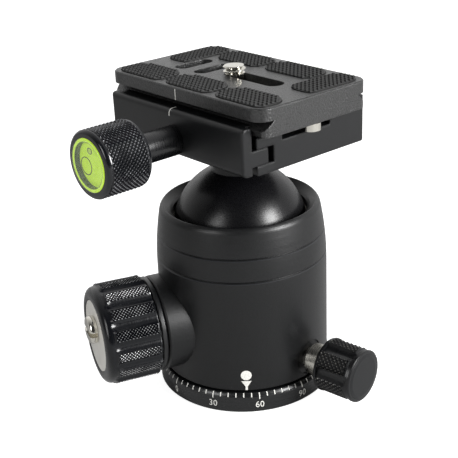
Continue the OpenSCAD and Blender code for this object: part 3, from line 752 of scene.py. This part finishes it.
def hoop(name, material, outer, inner, low, high, centre=(0, 0), stretch=1.0):
    """Ring of square section on the level's face, round or stretched sideways."""
    steps, points, faces = 72, [], []
    section = ((outer, low), (outer, high), (inner, high), (inner, low))
    for i in range(steps):
        a = 2 * math.pi * i / steps
        for r, z in section:
            points.append(Vector((centre[0] + r * stretch * math.cos(a),
                                  centre[1] + r * math.sin(a), z)))
    for i in range(steps):
        a, b = 4 * i, 4 * ((i + 1) % steps)
        faces += [(a + k, b + k, b + (k + 1) % 4, a + (k + 1) % 4) for k in range(4)]
    ring = add_mesh(name, points, faces, material, along(*CLAMP_AXIS))
    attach(ring, "clamp_knob")


# Screen printing ink: a flat, even black without gloss.
black_print = add_finish("black_screen_print", "#0c0d09", "#151611", (0.4, 0.5), 0.3, 0.002)
# The well's wall in dark green, as painted shade: it shows as a thin dark edge round the liquid.
wall_painted_shade = add_finish("dark_green_well_wall_painted_shade", "#2c3a30", "#43544a", (0.15, 0.3), 1.5, 0.002,
                        IOR=1.49)
hoop("level_well_wall", wall_painted_shade, outer=6.02, inner=5.9, low=46.46, high=48.02)
hoop("level_reading_ring", black_print, outer=2.34, inner=2.1, low=48.13, high=48.19,
     centre=(-0.5, -0.12))
# The bubble has drifted to the top of the well: a small pale lens in a thin outline.
bubble_pale = add_finish("pale_air_bubble", "#c9e65a", "#d6ee78", (0.1, 0.16), 0.8, 0.001, IOR=1.3)
BUBBLE = {"centre": (1.5, 4.1), "stretch": 1.2}
hoop("level_bubble_edge", black_print, outer=0.84, inner=0.66, low=48.13, high=48.19, **BUBBLE)
hoop("level_bubble", bubble_pale, outer=0.67, inner=0.02, low=48.12, high=48.17, **BUBBLE)

# Clear acrylic, polished: a thin window that adds little but a few bright reflections.
clear = add_finish("clear_acrylic_polished", "#e9f0dc", "#f2f6ea", (0.02, 0.06), 2.0, 0.001,
                   IOR=1.49, Alpha=0.1)
rows = [(6.84, 48.22), (6.84, 48.3), (6.6, 48.48), (6.1, 48.58)]
cover = turned_mesh("level_clear_cover", rows, 48.22, 48.6, clear)
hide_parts("level_vial")
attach(cover, "clamp_knob")

# ---- Camera plate ----
# The plate is a milled aluminium dovetail with slots for its screws, blasted and anodised black.
# Its satin top mirrors the pale room at a low angle. Its coarse blasting, about 0.2 mm, is drawn
# at 0.42 mm, so that it shows.
plate_black = add_finish("black_anodised_blasted_plate", "#050606", "#2c2c2c", (0.27, 0.38), 0.42,
                         0.14, edge=0.3, IOR=1.64)
dress(plate_black, "plate")
# The two stop pins stand out under its ends and keep it from sliding out of the clamp.
dress(nickel, "stop_pins")
PLATE_L, PLATE_W, PLATE_Z = 61.4, 38.4, 89.8
line_mark("plate_centre_mark", [(-PLATE_W / 2, z, 0) for z in (89.45, 88, 86.6)], "plate")

# ---- Rubber pads ----
# Seven rubber pads lie in pockets of the plate's top. They are moulded with rows of small square
# points, so that the camera doesn't twist on the plate.


def round_outline(x, y, w, h, radii, steps=6):
    """Rectangle from its lower left corner, with four corner radii from there round."""
    outline = []
    corners = ((x, y, 1, 1, 180), (x + w, y, -1, 1, 270), (x + w, y + h, -1, -1, 0),
               (x, y + h, 1, -1, 90))
    for (cx, cy, sx, sy, start), r in zip(corners, radii):
        for i in range(steps + 1):
            a = math.radians(start + 90 * i / steps)
            outline.append((cx + sx * r + r * math.cos(a), cy + sy * r + r * math.sin(a)))
    return outline


def inside(outline, px, py, margin):
    """Whether a point lies inside a convex outline, a margin away from its edge."""
    for (ax, ay), (bx, by) in zip(outline, outline[1:] + outline[:1]):
        length = math.hypot(bx - ax, by - ay)
        if length > 1e-6 and ((bx - ax) * (py - ay) - (by - ay) * (px - ax)) / length < margin:
            return False
    return True


PAD_CORNERS = (4.5, 2.9, 4.5, 3.9)  # radii, from the lower left corner round
PITCH = (1.41, 1.43)                # of the points, along and across the plate


def pad(x, y, w, h):
    """Slab with closed blunt points; those on its edge stand out a little and make it bumpy."""
    play = 0.1      # between the pad and its pocket
    outline = round_outline(x + play, y + play, w - 2 * play, h - 2 * play, PAD_CORNERS)
    n, top = len(outline), PLATE_Z + 0.2
    points = [Vector((px, py, z)) for z in (PLATE_Z - 0.55, top) for px, py in outline]
    faces = [(i, (i + 1) % n, n + (i + 1) % n, n + i) for i in range(n)]
    faces += [tuple(range(n - 1, -1, -1)), tuple(range(n, 2 * n))]
    across, along_plate = int(PLATE_W / 2 / PITCH[1]), int(PLATE_L / 2 / PITCH[0])
    for i in range(-along_plate, along_plate + 1):
        for j in range(-across, across + 1):
            px, py = i * PITCH[0], j * PITCH[1]
            if not inside(outline, px, py, margin=0.22):
                continue
            a = len(points)
            for half, z in ((0.48, top - 0.06), (0.36, PLATE_Z + 0.42), (0.18, PLATE_Z + 0.6)):
                for dx, dy in ((1, -1), (1, 1), (-1, 1), (-1, -1)):
                    points.append(Vector((px + dx * half, py + dy * half, z)))
            faces += [(a + lift + k, a + lift + (k + 1) % 4,
                       a + lift + 4 + (k + 1) % 4, a + lift + 4 + k)
                      for lift in (0, 4) for k in range(4)]
            faces += [(a + 3, a + 2, a + 1, a), (a + 8, a + 9, a + 10, a + 11)]
    return points, faces


# Moulded rubber: dark grey, dry and without gloss, a little dusty on its points.
rubber = add_finish("dark_grey_rubber_moulded", "#0c0c0c", "#161616", (0.45, 0.6), 0.4, 0.02,
                    IOR=1.45)
MARGIN, SPACE = 1.2, 0.7            # metal outside and between the pads
ROW, TALL_W, TALL_H = 9.9, 9.7, 19  # depth of the long pads, and size of the two end pads
left, right = -PLATE_L / 2 + MARGIN, PLATE_L / 2 - MARGIN
low, high = -PLATE_W / 2 + MARGIN, PLATE_W / 2 - MARGIN
near_w = (right - left - 2 * SPACE) / 3
far_w = (right - left - 2 * TALL_W - 3 * SPACE) / 2
places = [(left + i * (near_w + SPACE), low, near_w, ROW) for i in range(3)]
places += [(left + TALL_W + SPACE + i * (far_w + SPACE), high - ROW, far_w, ROW) for i in range(2)]
places += [(x, high - TALL_H, TALL_W, TALL_H) for x in (left, right - TALL_W)]
pads = add_mesh("patterned_pads", *joined([pad(*place) for place in places]), rubber)
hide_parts("plate_pads")
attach(pads, "plate")

# ---- Camera screw ----
# A captive 1/4 inch screw, 20 threads an inch, cut from steel and nickel plated. It hangs in the
# slot by a thin neck, with a slotted head and a nylon washer below the plate's web.


def threaded(radius, low, high, pitch, depth, lead):
    """Rows and cut of a thread with a lead-in cone at each end."""
    count = math.ceil((high - low) / 0.1)
    rows = [(radius, low + (high - low) * i / count) for i in range(count + 1)]

    def cut(angle, height):
        if not low <= height <= high:
            return math.inf
        turn = (height / pitch - angle / 360) % 1
        # the crests and the roots are flat, each a tenth of the pitch wide
        groove = radius - depth * min(1, max(0, (1 - abs(2 * turn - 1)) * 1.25 - 0.125))
        return min(groove, radius - lead + (height - low), radius - lead + (high - height))
    return rows, cut


SCREW_R, SCREW_TOP, HEAD = 3.05, 92.25, 84.35   # heights of the thread's end and the head's top
columns = [(3 * i, None) for i in range(120)]
thread, cut = threaded(SCREW_R, PLATE_Z + 0.2, SCREW_TOP, pitch=1.27, depth=0.68, lead=0.4)
rows = [(4.8, HEAD - 1.9), (5.0, HEAD - 1.7), (5.0, HEAD - 0.15), (4.85, HEAD), (2.5, HEAD),
        (2.5, PLATE_Z + 0.19)]
screw = add_lathe("threaded_camera_screw",
                  lathe(rows + thread, columns, HEAD - 1.9, SCREW_TOP, cut), nickel)
cut_slot(screw, (-6, -0.6, HEAD - 3), (6, 0.6, HEAD - 1))
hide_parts("camera_screw")
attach(screw, "camera_screw")
dress(nylon, "slot_washer")
